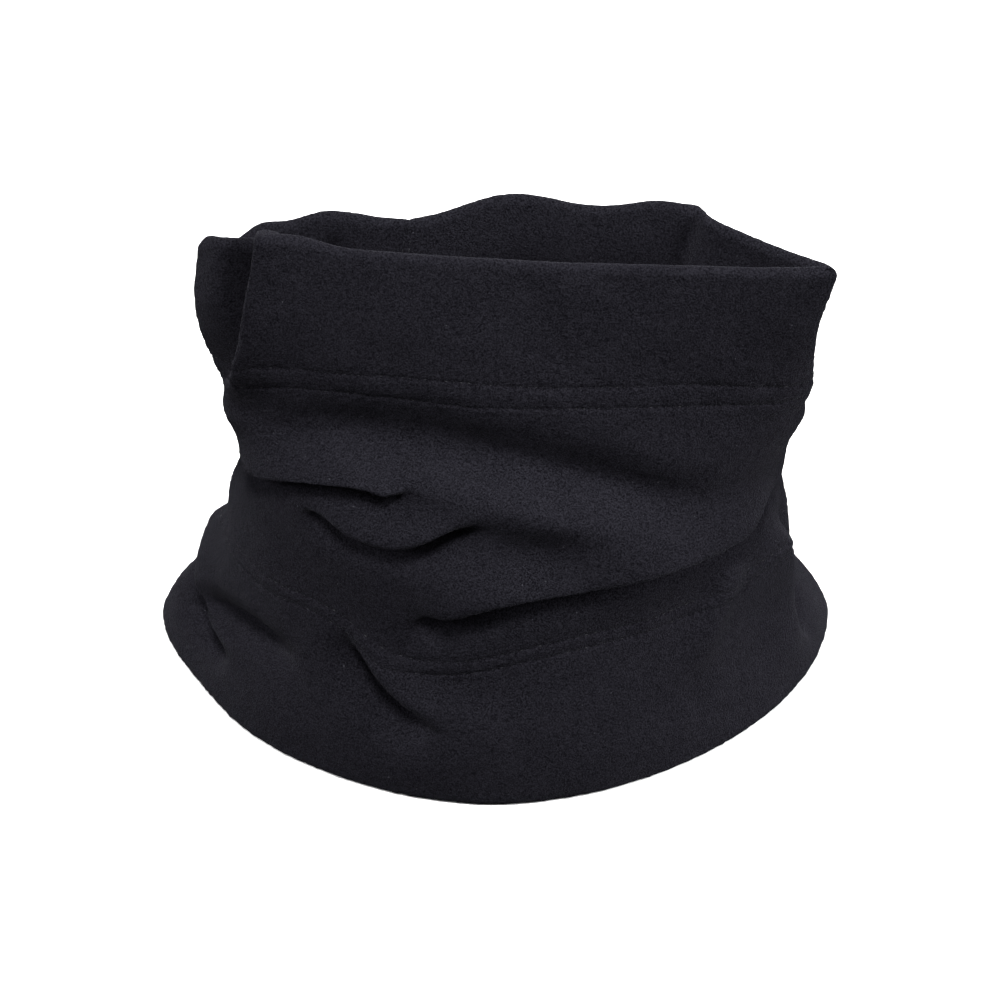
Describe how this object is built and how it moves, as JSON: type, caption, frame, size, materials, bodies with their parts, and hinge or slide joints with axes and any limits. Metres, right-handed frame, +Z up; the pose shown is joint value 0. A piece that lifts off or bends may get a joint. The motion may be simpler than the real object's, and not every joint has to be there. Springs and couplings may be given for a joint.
{
  "type": "neck gaiter",
  "caption": "Black fleece neck gaiter: a flared tube standing on its lower hem, slumped into soft folds, with deep twin-needle hems round a narrow mouth and a wide base.",
  "frame": {"origin": "centre of the bounding box, on the surface the lower hem stands on", "axes": "+Z up through the mouth, -Y to the front, +X to the wearer's left when the seam is at the back of the neck"},
  "size_m": [0.254, 0.176, 0.2],
  "materials": {
    "fleece": "black brushed microfleece, matte with a soft pale nap at edges",
    "thread": "black polyester sewing thread, slightly glossier than the fleece"
  },
  "bodies": {
    "lower_end": {"bottom_band": "fleece", "bottom_hem_facing": "fleece", "middle_wall": "fleece", "back_seam_allowance": "fleece", "bottom_stitch_row_upper": "thread", "bottom_stitch_row_lower": "thread", "bottom_looper_thread": "thread", "bottom_seam_row_left": "thread", "bottom_seam_row_right": "thread"},
    "upper_end": {"top_band": "fleece", "top_hem_facing": "fleece", "top_stitch_row_upper": "thread", "top_stitch_row_lower": "thread", "top_looper_thread": "thread", "top_seam_row_left": "thread", "top_seam_row_right": "thread"}
  },
  "joints": [
    {"name": "mouth_pull_up", "type": "slide", "parent": "lower_end", "child": "upper_end", "axis": [0, 0, 1], "range_m": [-0.03, 0.035], "deforming": ["middle_wall", "back_seam_allowance"]}
  ]
}
